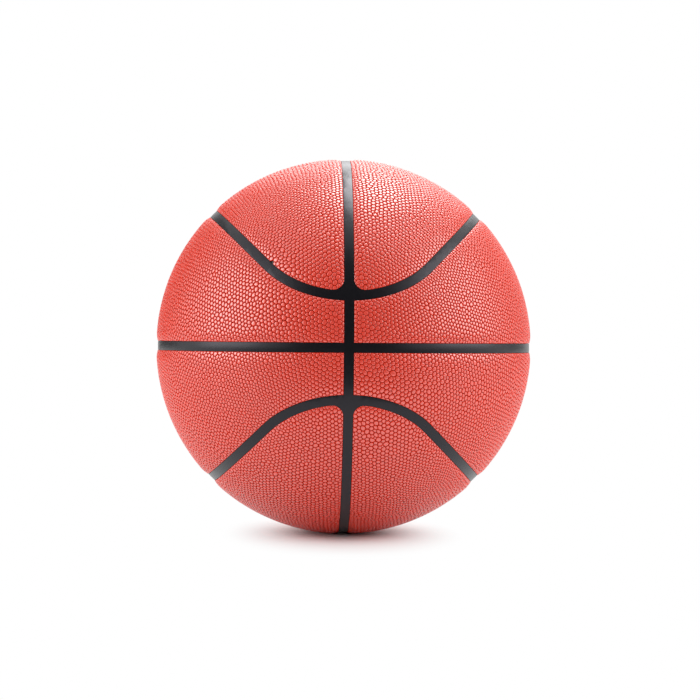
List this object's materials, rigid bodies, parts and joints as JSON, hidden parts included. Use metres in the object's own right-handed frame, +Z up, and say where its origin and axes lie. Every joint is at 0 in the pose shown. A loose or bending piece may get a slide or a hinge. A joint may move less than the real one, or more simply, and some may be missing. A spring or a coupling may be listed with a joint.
{
  "type": "basketball",
  "caption": "Inflated game ball with pebbled cover panels rolled into black ribbed seams, foam backings, a moulded carcass, a wound bladder and a needle valve.",
  "frame": {"origin": "centre of the ball", "axes": "+Z up, front crossing of the seams towards -Y, valve at the back towards +Y, +X to the right as seen from the front"},
  "size_m": [0.2414, 0.241, 0.2414],
  "materials": {
    "cover": "orange-red composite leather with a fine pebble grain, satin",
    "foam": "closed-cell sponge sheet, matt",
    "carcass": "black moulded rubber, satin on the ribs",
    "yarn": "undyed nylon yarn in latex",
    "bladder": "butyl rubber, smooth",
    "valve": "moulded rubber, satin"
  },
  "bodies": {
    "ball": {"cover_panel_top_left": "cover", "cover_panel_top_right": "cover", "cover_panel_bottom_left": "cover", "cover_panel_bottom_right": "cover", "cover_panel_upper_left": "cover", "cover_panel_upper_right": "cover", "cover_panel_lower_left": "cover", "cover_panel_lower_right": "cover", "foam_backing_top_left": "foam", "foam_backing_top_right": "foam", "foam_backing_bottom_left": "foam", "foam_backing_bottom_right": "foam", "foam_backing_upper_left": "foam", "foam_backing_upper_right": "foam", "foam_backing_lower_left": "foam", "foam_backing_lower_right": "foam", "carcass": "carcass", "winding": "yarn", "bladder": "bladder", "valve_boot": "valve"},
    "plug": {"valve_plug": "valve"}
  },
  "joints": [
    {"name": "valve_plug_pull", "type": "slide", "parent": "ball", "child": "plug", "axis": [0.2389, 0.9583, 0.1564], "range_m": [0, 0.022]}
  ]
}
